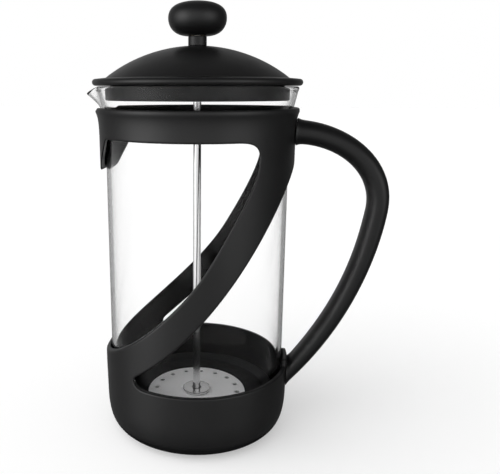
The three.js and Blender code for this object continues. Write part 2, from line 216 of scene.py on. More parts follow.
def area_normals(mesh):
    """Each point's normal is the mean of its faces' normals, weighted by area, so flats stay flat."""
    count = len(mesh.polygons)
    normal, area = np.zeros(count * 3), np.zeros(count)
    corners, totals = np.zeros(len(mesh.loops), int), np.zeros(count, int)
    mesh.polygons.foreach_get("normal", normal)
    mesh.polygons.foreach_get("area", area)
    mesh.polygons.foreach_get("loop_total", totals)
    mesh.loops.foreach_get("vertex_index", corners)
    weighted = np.repeat(normal.reshape(-1, 3) * area[:, None], totals, axis=0)
    summed = np.zeros((len(mesh.vertices), 3))
    np.add.at(summed, corners, weighted)
    return summed / np.maximum(np.linalg.norm(summed, axis=1), 1e-12)[:, None]


def grid_faces(rows, columns, wrap_rows, wrap_columns):
    """Quads between the points of a grid numbered row by row."""
    i = np.repeat(np.arange(rows - (not wrap_rows)), columns - (not wrap_columns))
    j = np.tile(np.arange(columns - (not wrap_columns)), rows - (not wrap_rows))
    k, l = (i + 1) % rows, (j + 1) % columns
    return np.stack([i * columns + j, k * columns + j, k * columns + l, i * columns + l], 1)


def turned(points, sides=160, closed=True):
    """Points given as (radius, height), turned about the axis: vertices and faces."""
    turn = np.arange(sides) * TAU / sides
    r, z = points[:, 0], points[:, 1]
    x = np.outer(np.cos(turn), r)
    y = np.outer(np.sin(turn), r)
    vertices = np.stack([x, y, np.broadcast_to(z, x.shape)], 2).reshape(-1, 3)
    return vertices, grid_faces(sides, len(points), True, closed)


# ------------------------------------------------------------------ materials

class Shader:
    """A material's node tree, with its Principled shader ready."""

    def __init__(self, name, **values):
        self.material = bpy.data.materials.new(name)
        self.material.use_nodes = True
        self.tree = self.material.node_tree
        self.main = self.tree.nodes["Principled BSDF"]
        for socket, value in values.items():
            self.main.inputs[socket.replace("_", " ")].default_value = value
        self.place = self.add("ShaderNodeTexCoord").outputs["Object"]

    def add(self, kind, inputs=None, **settings):
        node = self.tree.nodes.new(kind)
        for key, value in settings.items():
            setattr(node, key, value)
        for socket, value in (inputs or {}).items():
            self.put(node.inputs[socket], value)
        return node

    def put(self, socket, value):
        if isinstance(value, bpy.types.NodeSocket):
            self.tree.links.new(value, socket)
        else:
            socket.default_value = value

    def maths(self, operation, a, b=0.0):
        return self.add("ShaderNodeMath", {0: a, 1: b}, operation=operation).outputs[0]

    def noise(self, scale, detail=2.0, place=None, roughness=0.5):
        inputs = {"Vector": place or self.place, "Scale": scale, "Detail": detail, "Roughness": roughness}
        return self.add("ShaderNodeTexNoise", inputs).outputs["Fac"]

    def span(self, value, low, high, start=0.0, end=1.0):
        """value's stretch from start to end, mapped to low to high."""
        inputs = {"Value": value, "From Min": start, "From Max": end, "To Min": low, "To Max": high}
        return self.add("ShaderNodeMapRange", inputs).outputs["Result"]

    def tone(self, value, dark, light):
        ramp = self.add("ShaderNodeValToRGB", {"Fac": value})
        ramp.color_ramp.elements[0].color = (*dark, 1)
        ramp.color_ramp.elements[1].color = (*light, 1)
        ramp.color_ramp.elements[0].position = 0.3
        ramp.color_ramp.elements[1].position = 0.7
        return ramp.outputs["Color"]

    def ramp(self, value, levels):
        """A grey for each stretch of value, from (value, grey) pairs."""
        node = self.add("ShaderNodeValToRGB", {"Fac": value})
        stops = node.color_ramp.elements
        while len(stops) < len(levels):
            stops.new(0.5)
        for stop, (at, grey) in zip(stops, levels):
            stop.position = at
            stop.color = (grey, grey, grey, 1)
        return node.outputs["Color"]

    def bump(self, height, distance, strength=1.0, under=None):
        inputs = {"Height": height, "Distance": distance, "Strength": strength}
        if under is not None:
            inputs["Normal"] = under
        return self.add("ShaderNodeBump", inputs).outputs["Normal"]

    def axis_place(self):
        """(distance from the beaker's axis, turn, height) as a vector, for turned and drawn metal."""
        split = self.add("ShaderNodeSeparateXYZ", {"Vector": self.place}).outputs
        across = self.maths("SUBTRACT", split["X"], AXIS_X)
        flat = self.add("ShaderNodeCombineXYZ", {"X": across, "Y": split["Y"]}).outputs[0]
        away = self.add("ShaderNodeVectorMath", {0: flat}, operation="LENGTH").outputs["Value"]
        metres_per_radian = 0.0004
        turn = self.maths("ARCTAN2", split["Y"], across)
        drift = self.maths("MULTIPLY", turn, metres_per_radian)
        return self.add("ShaderNodeCombineXYZ", {"X": away, "Y": drift, "Z": split["Z"]}).outputs[0]

    def from_axis(self):
        """Distance from the beaker's axis, in metres."""
        return self.add("ShaderNodeSeparateXYZ", {"Vector": self.axis_place()}).outputs["X"]


def plastic(name, dark, light, rough, grain, shine=0.5, painted_shade_inside=None):
    """Moulded black plastic: a fine spark-eroded grain, faint flow marks, and an uneven sheen.
    Nearer to the axis than the given inside radius, in metres, the shine fades to nothing: painted shade
    inside the frame."""
    s = Shader(name, Specular_IOR_Level=shine, IOR=1.5)
    if painted_shade_inside:
        blend = 0.8 * MM
        # painted shade: no shine nearer to the axis than the frame's inside
        shine_with_painted_shade = s.span(s.from_axis(), 0.0, shine, painted_shade_inside, painted_shade_inside + blend)
        s.put(s.main.inputs["Specular IOR Level"], shine_with_painted_shade)
    cloud = s.noise(38, 3)
    s.put(s.main.inputs["Base Color"], s.tone(cloud, dark, light))
    speckle = s.noise(5200, 2)
    wipe = s.noise(90, 4)
    wiped = s.span(wipe, rough - 0.03, rough + 0.03, 0.3, 0.7)
    speckled = s.span(speckle, -0.03, 0.03, 0.3, 0.7)
    s.put(s.main.inputs["Roughness"], s.maths("ADD", wiped, speckled))
    flow = s.bump(s.noise(55, 1), 0.00004, 0.35)
    s.put(s.main.inputs["Normal"], s.bump(speckle, grain, 0.5, flow))
    return s.material


def glass():
    """Clear borosilicate, with the faint waviness of drawn tube. Its outside is painted darker where it
    turns
    away from the eye, by a ramp of greys: painted shade along the glass's edges."""
    s = Shader("beaker_glass", Transmission_Weight=1.0, IOR=1.18)
    facing = s.add("ShaderNodeLayerWeight", {"Blend": 0.5}).outputs["Facing"]
    middle = (GLASS_R - GLASS_WALL / 2) * MM
    blend = 0.3 * MM
    outside = s.span(s.from_axis(), 0, 1, middle - blend, middle + blend)
    # painted shade: the outside's colour turns grey as it faces away from the eye
    s.put(s.main.inputs["Base Color"], s.ramp(s.maths("MULTIPLY", facing, outside), EDGE_PAINTED_SHADE))
    around = s.add("ShaderNodeMapping", {"Vector": s.place, "Scale": (60, 60, 9)}).outputs["Vector"]
    wave = s.noise(1.0, 1, around)
    s.put(s.main.inputs["Roughness"], s.span(s.noise(160, 3), 0.0, 0.012, 0.35, 0.75))
    s.put(s.main.inputs["Normal"], s.bump(wave, 0.00002, 0.05))
    return s.material


def turned_metal(name, dark, light, rough, line_scale, depth, metallic=1.0):
    """Metal with the fine rings that turning, drawing or spinning leaves round its axis."""
    s = Shader(name, Metallic=metallic)
    rings = s.add("ShaderNodeMapping", {"Vector": s.axis_place(), "Scale": (line_scale, 1, line_scale)})
    lines = s.noise(1.0, 3, rings.outputs["Vector"], 0.65)
    s.put(s.main.inputs["Base Color"], s.tone(s.noise(70, 3), dark, light))
    s.put(s.main.inputs["Roughness"], s.span(lines, rough - 0.06, rough + 0.08, 0.3, 0.7))
    s.put(s.main.inputs["Normal"], s.bump(lines, depth, 0.6))
    return s.material


def woven_metal():
    """Fine steel cloth: crossing wires that pass over and under each other, painted darker where they pass
    under: painted shade.
    """
    s = Shader("mesh_steel", Metallic=1.0)
    waves_per_metre = TAU / (0.6 * MM)
    split = s.add("ShaderNodeSeparateXYZ", {"Vector": s.place})
    waves = []
    for axis in ("X", "Y"):
        waves.append(s.maths("SINE", s.maths("MULTIPLY", split.outputs[axis], waves_per_metre)))
    weave = s.maths("MULTIPLY", *waves)
    # painted shade: the steel's colour darkens where the weave dips and the wires pass under
    colour = s.tone(s.span(weave, 0, 1, -1, 1), (0.16, 0.16, 0.165), (0.6, 0.6, 0.61))
    s.put(s.main.inputs["Base Color"], colour)
    s.put(s.main.inputs["Roughness"], s.span(weave, 0.28, 0.5, -1, 1))
    s.put(s.main.inputs["Normal"], s.bump(weave, 0.00008, 0.8))
    return s.material


def silicone():
    """Soft black silicone with a faint bloom and moulding haze."""
    s = Shader("seal_silicone", Specular_IOR_Level=0.4, IOR=1.41)
    bloom = s.tone(s.noise(120, 4), (0.008, 0.008, 0.008), (0.02, 0.02, 0.021))
    s.put(s.main.inputs["Base Color"], bloom)
    s.put(s.main.inputs["Roughness"], s.span(s.noise(400, 3), 0.5, 0.66, 0.3, 0.7))
    s.put(s.main.inputs["Normal"], s.bump(s.noise(1500, 2), 0.00002, 0.4))
    return s.material


# The glass's painted edge shade: (how far the surface faces away, grey)
EDGE_PAINTED_SHADE = [(0.66, 1.0), (0.7, 0.9), (0.74, 0.72), (0.82, 0.55), (1.0, 0.45)]
# The frame's plastic gets painted shade: its inside does not shine.
FRAME_PLASTIC = plastic("frame_black", (0.0065, 0.0065, 0.0068), (0.0085, 0.0085, 0.0088),
                        rough=0.38, grain=0.00001, painted_shade_inside=(FRAME_INNER + 0.5) * MM)
HANDLE_PLASTIC = plastic("handle_black", (0.0055, 0.0055, 0.0058), (0.0075, 0.0075, 0.0078),
                         rough=0.34, grain=0.000008, shine=0.4)
LID_PLASTIC = plastic("lid_black", (0.006, 0.006, 0.0063), (0.008, 0.008, 0.0083),
                      rough=0.37, grain=0.00001)
PLUG_PLASTIC = plastic("plug_black", (0.006, 0.006, 0.0063), (0.008, 0.008, 0.0083),
                       rough=0.42, grain=0.00001, shine=0.33)
GLASS = glass()
ROD_STEEL = turned_metal("rod_steel", (0.86, 0.86, 0.865), (0.92, 0.92, 0.92),
                         rough=0.18, line_scale=4200, depth=0.000002)
SHEET_STEEL = turned_metal("filter_steel", (0.90, 0.90, 0.905), (0.95, 0.95, 0.955),
                           rough=0.42, line_scale=2600, depth=0.000004, metallic=0.2)
SCREW_STEEL = turned_metal("screw_steel", (0.42, 0.42, 0.43), (0.55, 0.55, 0.56),
                           rough=0.28, line_scale=3000, depth=0.000006)
BRASS = turned_metal("insert_brass", (0.55, 0.38, 0.14), (0.68, 0.50, 0.21),
                     rough=0.28, line_scale=3400, depth=0.000006)
MESH_STEEL = woven_metal()
SILICONE = silicone()


# ------------------------------------------------------------------ beaker

def beaker_outline():
    inner = GLASS_R - GLASS_WALL
    under = bottom("beaker")
    floor = under + GLASS_FLOOR
    inner_heel = HEEL_R - GLASS_WALL
    flat = 20
    wall_low = 40
    path = Outline(0, under)
    path.line(flat, under)
    path.arc((GLASS_R - HEEL_R, under + HEEL_R), HEEL_R, -90, 0, 14)
    for z in np.linspace(wall_low, FLARE_BOTTOM, 5):
        path.line(GLASS_R, z)
    path.curve((GLASS_R, 170), (48.7, 172.2), (49.3, SPOUT_BOTTOM), steps=8)
    path.curve((50.1, 178), (50.9, 181.3), (RIM_R - 0.65, 184.8), steps=12)
    path.curve((RIM_R + 0.2, 186.4), (RIM_R, RIM_TOP), (RIM_R - 1.4, RIM_TOP), steps=10)
    path.curve((50.1, RIM_TOP), (49.8, 186.6), (49.6, 185.3), steps=10)
    path.curve((48.8, 181.8), (47.9, 178.5), (47.2, 175), steps=12)
    path.curve((46.6, 172.8), (inner, 170.3), (inner, FLARE_BOTTOM + 0.2), steps=8)
    for z in np.linspace(FLARE_BOTTOM, wall_low, 5):
        path.line(inner, z)
    path.arc((inner - inner_heel, floor + inner_heel), inner_heel, 0, -90, 14)
    path.line(flat, floor)
    path.line(0, floor)
    return path.points()


def pull_spout(vertices):
    """Pulls the rim outwards and down round the -X direction."""
    x, y, z = vertices.T
    away = np.abs(np.arctan2(y, -x)) / SPOUT_HALF_ANGLE
    height = np.clip((z - SPOUT_BOTTOM) / (RIM_TOP - SPOUT_BOTTOM), 0, 1)
    share = np.where((away < 1) & (height > 0), np.cos(np.clip(away, 0, 1) * math.pi / 2) ** 2, 0)
    stretch = 1 + SPOUT_REACH * share * height ** 0.85 / np.maximum(np.hypot(x, y), 1)
    drop = SPOUT_DROP * share * np.clip(1.4 * height - 0.4, 0, 1)
    return np.stack([x * stretch, y * stretch, z - drop], 1)


def make_beaker():
    """The glass casts no shadow, as clear glass in soft light casts hardly any."""
    vertices, faces = turned(beaker_outline(), 288, closed=False)
    vertices = pull_spout(vertices)
    made = piece("glass_beaker", "beaker", ["beaker"], "beaker_glass", GLASS, vertices, faces)
    made.visible_shadow = False
    return made


# ------------------------------------------------------------------ frame

def frame_outline():
    floor_top = bottom("beaker") - FRAME_GAP
    floor_under = floor_top - FRAME_FLOOR
    path = Outline(39.4, 0, 0.4)
    path.line(41, 0)
    path.curve((45.8, 2.8), (FOOT_R, 1.4), (FOOT_R, FOOT_ROUNDING), steps=28)
    path.line(FRAME_R, CUP_RIM)
    path.line(FRAME_R + 0.1, COLLAR_BOTTOM)
    path.curve((51.3, 168), (51.4, 171.5), (COLLAR_R - 0.1, COLLAR_TOP - 2.2), steps=12)
    path.curve((COLLAR_R + 0.1, COLLAR_TOP - 1), (COLLAR_R, COLLAR_TOP),
               (COLLAR_R - 1, COLLAR_TOP), steps=6)
    path.line(50.8, COLLAR_TOP, 0.5)
    path.curve((49.9, 173.2), (FRAME_INNER, 170.5), (FRAME_INNER, FLARE_BOTTOM - 3), steps=12)
    path.line(FRAME_INNER, floor_top + HEEL_R)
    path.arc((FRAME_INNER - HEEL_R, floor_top + HEEL_R), HEEL_R, 0, -90, 12)
    path.line(FLOOR_OPENING, floor_top, 0.7)
    path.line(FLOOR_OPENING, floor_under, 0.7)
    path.line(45, floor_under)
    path.curve((44, 3.2), (42, 2.2), (39.8, 2), steps=6)
    return path.points(closed=True)


def spout_window():
    """The opening on the spout side, seen along Y: collar and tongue above, straps below."""
    path = Outline(-80, 144)
    path.line(-50.9, 144)
    path.curve((-49.2, 144), (-48.5, 146), (-47.6, 148.2), steps=8)
    path.curve((-46.6, 150.5), (-45.3, 153.3), (-44.2, 155.9), steps=6)
    path.curve((-42.6, 159.7), (-42.4, COLLAR_BOTTOM), (-40.8, COLLAR_BOTTOM), steps=8)
    path.line(23.5, COLLAR_BOTTOM)
    path.curve((31.5, COLLAR_BOTTOM), (35.1, 160.5), (33.3, 149.5), steps=16)
    path.curve((32.5, 142.8), (24.4, 125.4), (11.7, 104), steps=16)
    path.curve((0.5, 85.2), (-22.3, 62.5), (-50.5, 43.9), steps=20)
    path.line(-80, 20)
    return path.points(closed=True)


def handle_window():
    """The opening on the handle side: the straps' lower edge above and the cup's rim below."""
    path = Outline(-21.5, CUP_RIM)
    path.line(80, CUP_RIM)
    path.line(80, 151.5)
    path.line(53.2, 151.5)
    path.line(51.9, 149.1)
    path.curve((40.9, 122.4), (20, 78.8), (-25.5, 43.6), steps=24)
    path.curve((-28.9, 41), (-27.3, CUP_RIM), (-21.5, CUP_RIM), steps=10)
    return path.points(closed=True)


def spout_notch():
    """The cut in the collar's rim under the spout, seen along Y."""
    path = Outline(-80, NOTCH_FLOOR)
    path.line(NOTCH_X - 1.5, NOTCH_FLOOR)
    path.curve((NOTCH_X - 0.7, NOTCH_FLOOR), (NOTCH_X - 0.1, NOTCH_FLOOR + 0.7),
               (NOTCH_X, NOTCH_FLOOR + 2.2), steps=6)
    path.line(NOTCH_X, COLLAR_TOP + 10)
    path.line(-80, COLLAR_TOP + 10)
    return path.points(closed=True)


def edge_normals(outline):
    """The outward normals at each edge's start and end, shared between edges that meet smoothly."""
    edges = np.roll(outline, -1, axis=0) - outline
    across = np.roll(outline, -1, axis=0)
    turning = (outline[:, 0] * across[:, 1] - outline[:, 1] * across[:, 0]).sum()
    normals = np.stack([edges[:, 1], -edges[:, 0]], 1) * np.sign(turning)
    normals /= np.linalg.norm(normals, axis=1)[:, None]
    before = np.roll(normals, 1, axis=0)
    shared = normals + before
    shared /= np.maximum(np.linalg.norm(shared, axis=1), 1e-9)[:, None]
    smooth = (normals * before).sum(1) > math.cos(math.radians(35))
    starts = np.where(smooth[:, None], shared, normals)
    ends = np.where(np.roll(smooth, -1)[:, None], np.roll(shared, -1, axis=0), normals)
    return starts, ends


def outline_distance(points, outline):
    """Signed distance to a closed outline, negative inside, and its outward direction."""
    nearest = np.full(len(points), np.inf)
    direction = np.zeros_like(points)
    inside = np.zeros(len(points), bool)
    starts, ends = edge_normals(outline)
    for i, start in enumerate(outline):
        end = outline[(i + 1) % len(outline)]
        edge, gap = end - start, points - start
        share = np.clip(gap @ edge / (edge @ edge), 0, 1)
        distance = ((gap - share[:, None] * edge) ** 2).sum(1)
        closer = distance < nearest
        nearest[closer] = distance[closer]
        direction[closer] = starts[i] + share[closer][:, None] * (ends[i] - starts[i])
        if start[1] != end[1]:
            spans = (start[1] > points[:, 1]) != (end[1] > points[:, 1])
            cross = start[0] + (points[:, 1] - start[1]) * edge[0] / edge[1]
            inside ^= spans & (points[:, 0] < cross)
    direction /= np.linalg.norm(direction, axis=1)[:, None]
    return np.sqrt(nearest) * np.where(inside, -1.0, 1.0), direction


def rounded_cut(solid, keep, r):
    """Where both fields are negative, its edges rounded by r. Each is (distance, gradient)."""
    (a, da), (b, db) = solid, keep
    u, v = np.maximum(a + r, 0), np.maximum(b + r, 0)
    length = np.hypot(u, v)
    sharp = np.maximum(a, b)
    distance = np.minimum(sharp, -r) + length
    mixed = (u[:, None] * da + v[:, None] * db) / np.maximum(length, 1e-9)[:, None]
    gradient = np.where((length > 1e-9)[:, None], mixed, np.where((a > b)[:, None], da, db))
    return distance, gradient


def joined(one, other, r):
    """Either field, with the inner corner between them filled by r."""
    distance, gradient = rounded_cut((-one[0], -one[1]), (-other[0], -other[1]), r)
    return -distance, -gradient


class FrameField:
    """The frame's surface as a signed distance: a turned shell with windows cut along Y."""

    def __init__(self):
        self.shell = frame_outline()
        self.windows = [spout_window(), handle_window(), spout_notch()]

    def turned_shell(self, p):
        away = np.maximum(np.hypot(p[:, 0], p[:, 1]), 1e-9)
        distance, flat = outline_distance(np.stack([away, p[:, 2]], 1), self.shell)
        gradient = np.stack([flat[:, 0] * p[:, 0] / away, flat[:, 0] * p[:, 1] / away, flat[:, 1]], 1)
        return distance, gradient

    def outside_window(self, p, outline):
        distance, flat = outline_distance(p[:, [0, 2]], outline)
        return -distance, -np.stack([flat[:, 0], np.zeros(len(p)), flat[:, 1]], 1)

    def lug(self, p):
        """The raised rim behind the handle: an upright bar with rounded corners, seen along X."""
        far_away = 99.0
        side = np.sign(p[:, 1])
        u = np.abs(p[:, 1]) - LUG_HALF + LUG_CORNER
        v = p[:, 2] - LUG_TOP + LUG_CORNER
        out = np.hypot(np.maximum(u, 0), np.maximum(v, 0))
        distance = out + np.minimum(np.maximum(u, v), 0) - LUG_CORNER
        soft = np.maximum(out, 1e-9)
        dy = np.where(out > 0, np.maximum(u, 0) / soft, u > v) * side
        dz = np.where(out > 0, np.maximum(v, 0) / soft, u <= v)
        distance = np.where(p[:, 0] > 0, distance, far_away)
        return distance, np.stack([np.zeros(len(p)), dy, dz], 1)

    def screw_hole(self, p, height):
        """Outside a countersunk hole along X, which starts inside the frame's wall."""
        lateral = np.maximum(np.hypot(p[:, 1], p[:, 2] - height), 1e-9)
        start, rim, end = FRAME_INNER - 4, FRAME_INNER + 0.7, 60
        path = Outline(start, -1).line(start, SCREW_HEAD_R).line(rim, SCREW_HEAD_R)
        path.line(rim + 1.7, SCREW_HOLE_R).line(end, SCREW_HOLE_R).line(end, -1)
        distance, flat = outline_distance(np.stack([p[:, 0], lateral], 1), path.points(closed=True))
        gradient = np.stack([flat[:, 0], flat[:, 1] * p[:, 1] / lateral,
                             flat[:, 1] * (p[:, 2] - height) / lateral], 1)
        return -distance, -gradient

    def __call__(self, p):
        spout, handle, notch = (self.outside_window(p, w) for w in self.windows)
        handle = joined(handle, self.lug(p), LUG_FILLET)
        field = self.turned_shell(p)
        for keep in (spout, handle, notch):
            field = rounded_cut(field, keep, EDGE_ROUND)
        for screw in SCREWS:
            self.cut_screw_hole(field, p, (top(screw) + bottom(screw)) / 2)
        return field

    def cut_screw_hole(self, field, p, height):
        reach = 9
        near = (p[:, 0] > 40) & (np.hypot(p[:, 1], p[:, 2] - height) < reach)
        if near.any():
            wall = (field[0][near], field[1][near])
            field[0][near], field[1][near] = rounded_cut(wall, self.screw_hole(p[near], height), 0.15)


def crossings(value, axis):
    """The grid's edges along an axis where value changes sign: their first points, and the values at
    both ends. Only the first axis closes on itself."""
    ahead = np.roll(value, -1, axis)
    crossing = (value < 0) != (ahead < 0)
    if axis == 1:
        crossing[:, -1] = False
    if axis == 2:
        crossing[:, :, -1] = False
    at = np.nonzero(crossing)
    return at, value[at], ahead[at]


def cells_around(at, share, axis, shape):
    """For each of the four cells round every crossing: the cells' numbers, and the crossing's place."""
    first, second = [n for n in range(3) if n != axis]
    for back_first in (0, 1):
        for back_second in (0, 1):
            cell = list(at)
            offset = np.zeros((len(share), 3), np.float32)
            offset[:, axis] = share
            for back, other in ((back_first, first), (back_second, second)):
                cell[other] = cell[other] - back
                offset[:, other] = back
            cell[0] = cell[0] % shape[0]
            yield (cell[0] * shape[1] + cell[1]) * shape[2] + cell[2], offset


def surface_net(value):
    """The surface where value changes sign on a grid: one point in each cell that it passes through,
    in grid steps, and quads between neighbouring cells."""
    total = np.zeros((value.size, 3), np.float32)
    count = np.zeros(value.size, np.float32)
    quads = []
    for axis in range(3):
        at, here, there = crossings(value, axis)
        cells = []
        for index, offset in cells_around(at, here / (here - there), axis, value.shape):
            np.add.at(total, index, offset)
            np.add.at(count, index, 1)
            cells.append(index)
        ring = np.stack([cells[0], cells[1], cells[3], cells[2]], 1)
        flip = (here < 0) != (axis == 1)
        ring[flip] = ring[flip][:, ::-1]
        quads.append(ring)
    quads = np.concatenate(quads)
    used = np.unique(quads)
    order = np.zeros(value.size, int)
    order[used] = np.arange(len(used))
    places = total[used] / count[used][:, None]
    return places + np.stack(np.unravel_index(used, value.shape), 1), order[quads]


def round_axis(turn, r, z):
    return np.stack([r * np.cos(turn), r * np.sin(turn), z], 1)


def frame_values(field, turns, levels, depths):
    """The field on a grid of turns, heights and distances from the axis, exact near its surface."""
    flat = np.stack(np.meshgrid(depths, levels, indexing="xy"), 2).reshape(-1, 2)
    shell = outline_distance(flat, field.shell)[0].reshape(len(levels), len(depths))
    value = np.broadcast_to(shell, (turns, len(levels), len(depths))).astype(np.float32).copy()
    near = np.nonzero(value < 2.0)
    p = round_axis(near[0] * TAU / turns, depths[near[2]], levels[near[1]])
    batch = 200000
    for start in range(0, len(p), batch):
        part = slice(start, start + batch)
        value[near[0][part], near[1][part], near[2][part]] = field(p[part])[0]
    return value


def settled(field, p):
    """Points moved onto the surface of the field, and their normals."""
    for _ in range(4):
        distance, gradient = field(p)
        p -= np.clip(distance, -0.5, 0.5)[:, None] * gradient
    normals = field(p)[1]
    return p, normals / np.linalg.norm(normals, axis=1)[:, None]


def make_frame():
    field = FrameField()
    turns, level_step, depth_step = ((448, 0.7, 0.45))
    levels = np.arange(-1.0, COLLAR_TOP + 1.5, level_step)
    depths = np.arange(FLOOR_OPENING - 1.5, COLLAR_R + 1.5, depth_step)
    steps, faces = surface_net(frame_values(field, turns, levels, depths))
    z = levels[0] + steps[:, 1] * level_step
    r = depths[0] + steps[:, 2] * depth_step
    p, normals = settled(field, round_axis(steps[:, 0] * TAU / turns, r, z))
    return piece("frame_moulding", "frame", ["frame"], "frame_plastic", FRAME_PLASTIC, p, faces, normals)


# ------------------------------------------------------------------ handle

# Each edge of the handle, seen along Y, as two cubic curves
OUTER_EDGE = [
    ((46.1, 170.7), (73.8, 172.3), (103.2, 153.7), (100.1, 125.1)),
    ((100.1, 125.1), (99.4, 118.2), (92.6, 64.5), (46.2, 18.9)),
]
INNER_EDGE = [
    ((46.8, 158.2), (72.4, 160.2), (92.1, 143.6), (88.9, 124.2)),
    ((88.9, 124.2), (85.2, 102.1), (78.5, 72.2), (47.6, 33.1)),
]


def edge_points(edge, steps):
    first = bezier(*edge[0], steps=steps)
    second = bezier(*edge[1], steps=steps)
    return np.concatenate([[edge[0][0]], first, second])


def frame_reach(z):
    """How far the frame's outside is from the axis where the handle meets it."""
    levels = [0, FOOT_ROUNDING, CUP_RIM, COLLAR_BOTTOM, 168, 172, COLLAR_TOP]
    reach = [FOOT_R - 1, FOOT_R, FRAME_R, FRAME_R + 0.1, 51.5, 52.1, COLLAR_R]
    return np.interp(z, levels, reach)


def squared(value, power=0.85):
    """A sine or cosine bent so that the handle's section is a circle pressed towards a square."""
    return np.sign(value) * np.abs(value) ** power


def make_handle():
    steps, sides = 120, 64
    outer, inner = edge_points(OUTER_EDGE, steps), edge_points(INNER_EDGE, steps)
    half_depth = radius("handle")
    turn = np.arange(sides) * TAU / sides
    share = 0.5 + 0.5 * squared(np.cos(turn))
    side = half_depth * squared(np.sin(turn))
    lines = inner[None] + (outer - inner)[None] * share[:, None, None]
    rings = 150
    grid = np.zeros((rings, sides, 3))
    for k in range(sides):
        line = np.concatenate([lines[k], np.full((len(lines[k]), 1), side[k])], 1)
        away = np.hypot(line[:, 0], line[:, 2]) - frame_reach(line[:, 1]) - HANDLE_GAP
        free = np.nonzero(away > 0)[0]
        ends = []
        for near, far in ((free[0] - 1, free[0]), (free[-1] + 1, free[-1])):
            ends.append(near + (far - near) * away[near] / (away[near] - away[far]))
        length = np.concatenate([[0], np.cumsum(np.linalg.norm(np.diff(line, axis=0), axis=1))])
        start, end = np.interp(ends, np.arange(len(line)), length)
        at = start + (end - start) * ring_spacing(rings)
        for column, target in ((0, 0), (1, 2), (2, 1)):
            grid[:, k, target] = np.interp(at, length, line[:, column])
    shape_ends(grid)
    caps = [cap_rings(grid[0]), cap_rings(grid[-1])]
    vertices = np.concatenate([caps[0][::-1], grid, caps[1]]).reshape(-1, 3)
    faces = grid_faces(len(vertices) // sides, sides, False, True)
    return piece("handle_grip", "frame", ["handle"], "handle_plastic", HANDLE_PLASTIC, vertices, faces)


def ring_spacing(rings):
    """Shares along the handle from 0 to 1, closer together at both ends."""
    t = np.linspace(0, 1, rings)
    return t - 0.93 * np.sin(TAU * t) / TAU


def shape_ends(grid):
    """Flares both ends a little where they meet the frame, and rounds their last edge."""
    for order in (1, -1):
        part = grid[::order]
        centre = part.mean(axis=1, keepdims=True)
        reach = np.linalg.norm(part - centre, axis=2, keepdims=True)
        away = np.linalg.norm(part - part[:1], axis=2, keepdims=True)
        flare = FLARE_HEIGHT * np.exp(-away / FLARE_LENGTH)
        edge = END_ROUND * np.clip(1 - away / END_ROUND, 0, 1) ** 2
        part += (part - centre) / reach * np.where(away < FLARE_ENDS, flare - edge, 0)


def cap_rings(ring):
    """Rings that close an end of the handle along the frame's outside, down to its middle."""
    centre = ring.mean(axis=0)
    rings = []
    for share in (0.96, 0.75, 0.5, 0.25, 0.0):
        made = centre + (ring - centre) * share
        gap = np.hypot(ring[:, 0], ring[:, 1]) - frame_reach(ring[:, 2])
        reach = frame_reach(made[:, 2]) + gap.mean()
        made[:, 0] = np.sqrt(reach ** 2 - made[:, 1] ** 2)
        rings.append(made)
    return np.array(rings)


# ------------------------------------------------------------------ lid

def cover_outline():
    flange_r = radius("lid_cover")
    half = 1.7
    low = bottom("lid_cover")
    high = low + 2 * half
    dome = top("lid_cover")
    wall = 2.4
    inside = 45.3
    path = Outline(LID_BORE, dome, 0.15)
    path.curve((20, dome - 0.8), (35.6, 200.6), (47.2, high + 0.5), 0.8, steps=36)
    path.line(flange_r - half, high)
    path.arc((flange_r - half, low + half), half, 90, -90, 16)
    path.line(inside, low, 0.2)
    path.line(inside, low + wall + 0.2, 0.3)
    path.curve((34.2, 198.6), (19, 204.2), (LID_BORE, dome - wall), 0.2, steps=30)
    return path.points(closed=True)


def insert_outline():
    low = bottom("lid_insert")
    plate = low + 3.8
    plate_top = plate + 1.8
    shelf = bottom("lid_cover") - 0.3
    plug = radius("lid_insert")
    ring = 44.8
    ring_inner = 43.2
    ring_top = shelf + 2.2
    post = 7
    post_top = top("lid_insert")
    path = Outline(LID_BORE, plate, 0.2)
    path.line(44.6, plate, 0.8)
    path.line(45.4, low + 0.6, 0.4)
    path.line(46, low, 0.3)
    path.line(plug, low, 0.35)
    path.line(plug, shelf, 0.2)
    path.line(ring, shelf, 0.1)
    path.line(ring, ring_top, 0.3)
    path.line(ring_inner, ring_top, 0.3)
    path.line(ring_inner, plate_top, 0.3)
    path.line(post, plate_top, 0.6)
    path.line(post, post_top, 0.3)
    path.line(LID_BORE, post_top, 0.3)
    return path.points(closed=True)


def bush_outline():
    stem = 3.9
    low, high = bottom("lid_bush"), top("lid_bush")
    shoulder = top("lid_cover") + 0.12
    neck = radius("lid_bush")
    path = Outline(ROD_BORE, low, 0.2)
    path.line(stem, low, 0.4)
    path.line(stem, shoulder)
    path.line(neck, shoulder, 0.25)
    path.line(neck, high, 0.35)
    path.line(ROD_BORE, high, 0.3)
    return path.points(closed=True)


def nut_mesh():
    """A hexagon nut whose corners are turned off at both faces."""
    low, high = bottom("lid_nut"), top("lid_nut")
    corner = 8.0
    sides = 120
    turn = np.arange(sides) * TAU / sides
    flat = corner * math.cos(math.pi / 6)
    hexagon = flat / np.cos((turn + math.pi / 6) % (math.pi / 3) - math.pi / 6)
    bore, chamfer = np.full(sides, LID_BORE), np.full(sides, LID_BORE + 0.3)
    face, shoulder = np.full(sides, flat - 0.3), np.minimum(hexagon, flat + 0.1)
    rows = [
        (bore, low + 0.3), (chamfer, low), (face, low), (shoulder, low + 0.15), (hexagon, low + 0.75),
        (hexagon, high - 0.75), (shoulder, high - 0.15), (face, high), (chamfer, high), (bore, high - 0.3),
    ]
    grid = np.concatenate([round_axis(turn, r, np.full(sides, z)) for r, z in rows])
    return grid, grid_faces(len(rows), sides, True, True)


